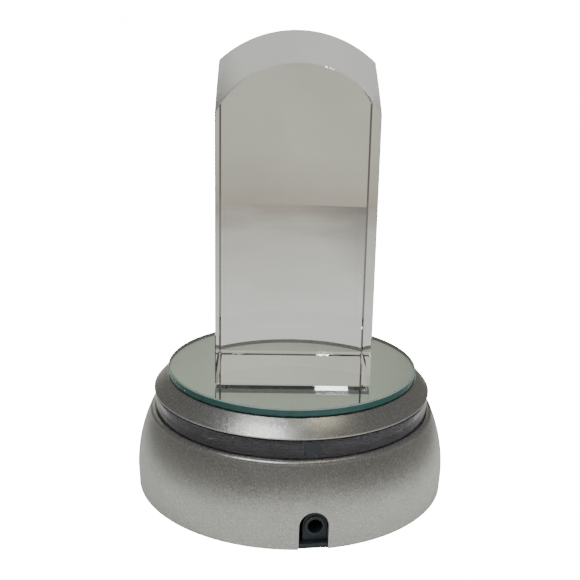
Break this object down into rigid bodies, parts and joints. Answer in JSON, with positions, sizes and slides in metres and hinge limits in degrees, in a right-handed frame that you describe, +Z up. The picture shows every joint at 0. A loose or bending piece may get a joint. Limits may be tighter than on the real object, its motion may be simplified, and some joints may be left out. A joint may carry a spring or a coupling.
{
  "type": "crystal award on lit turning base",
  "caption": "Clear arch-topped crystal block standing on a round mirror, on a silver display base with a smoked light band and a turning top.",
  "frame": {"origin": "centre of the base's footprint, on the surface it stands on", "axes": "+Z up; the power socket faces -Y; +X is to the right when facing the socket"},
  "size_m": [0.1274, 0.1272, 0.1839],
  "materials": {
    "crystal_glass": "polished clear",
    "mirror_glass": "silvered glass with a polished green edge",
    "foam_tape": "closed foam",
    "silver_paint": "metallic flake paint on ABS",
    "white_acetal": "natural acetal",
    "zinc_steel": "zinc plated",
    "grey_nylon": "moulded nylon",
    "motor_steel": "nickel plated can",
    "black_plastic": "moulded ABS",
    "smoked_acrylic": "smoked transparent",
    "board_green": "solder mask",
    "nickel_contact": "nickel plated",
    "brass_contact": "bare",
    "led_epoxy": "clear epoxy",
    "foot_rubber": "soft matt",
    "wire_black": "PVC insulation",
    "wire_red": "PVC insulation"
  },
  "bodies": {
    "base": {"stage_arbor": "zinc_steel", "gearbox_case": "grey_nylon", "motor_can": "motor_steel", "motor_screws": "zinc_steel", "glide_ring": "white_acetal", "inner_deck": "black_plastic", "deck_screws": "zinc_steel", "light_band": "smoked_acrylic", "band_key": "black_plastic", "led_board": "board_green", "lower_housing": "silver_paint", "bottom_cover": "black_plastic", "cover_screws": "zinc_steel", "jack_body": "black_plastic", "jack_pin": "nickel_contact", "jack_contact": "brass_contact", "power_board": "board_green", "board_screws": "zinc_steel", "switch_body": "motor_steel", "led_right_front": "led_epoxy", "lamp_core_right_front": "black_plastic", "lamp_clip_right_front": "nickel_contact", "led_right_side": "led_epoxy", "lamp_core_right_side": "black_plastic", "lamp_clip_right_side": "nickel_contact", "led_right_rear": "led_epoxy", "lamp_core_right_rear": "black_plastic", "lamp_clip_right_rear": "nickel_contact", "led_left_rear": "led_epoxy", "lamp_core_left_rear": "black_plastic", "lamp_clip_left_rear": "nickel_contact", "led_left_side": "led_epoxy", "lamp_core_left_side": "black_plastic", "lamp_clip_left_side": "nickel_contact", "led_left_front": "led_epoxy", "lamp_core_left_front": "black_plastic", "lamp_clip_left_front": "nickel_contact", "foot_right": "foot_rubber", "foot_rear": "foot_rubber", "foot_left": "foot_rubber", "foot_front": "foot_rubber", "led_lead_black": "wire_black", "motor_lead_black": "wire_black", "led_lead_red": "wire_red", "motor_lead_red": "wire_red"},
    "turntable": {"turntable_cap": "silver_paint", "mirror_tape": "foam_tape", "mirror_disc": "mirror_glass", "drive_hub": "white_acetal", "hub_screws": "zinc_steel", "output_shaft": "zinc_steel", "output_gear": "white_acetal"},
    "stage_pinion": {"stage_pinion": "white_acetal"},
    "crystal": {"crystal_block": "crystal_glass"},
    "switch_knob": {"switch_knob": "black_plastic"}
  },
  "joints": [
    {"name": "turntable_spin", "type": "hinge", "parent": "base", "child": "turntable", "pos_m": [0, 0, 0.045], "axis": [0, 0, 1], "continuous": true},
    {"name": "stage_pinion_spin", "type": "hinge", "parent": "base", "child": "stage_pinion", "pos_m": [0.01, 0, 0.0255], "axis": [0, 0, 1], "continuous": true},
    {"name": "crystal_lift", "type": "slide", "parent": "turntable", "child": "crystal", "axis": [0, 0, 1], "range_m": [0, 0.06]},
    {"name": "switch_slide", "type": "slide", "parent": "base", "child": "switch_knob", "axis": [1, 0, 0], "range_m": [0, 0.003]}
  ],
  "couplings": [
    {"joint": "stage_pinion_spin", "follows": "turntable_spin", "ratio": -3}
  ]
}
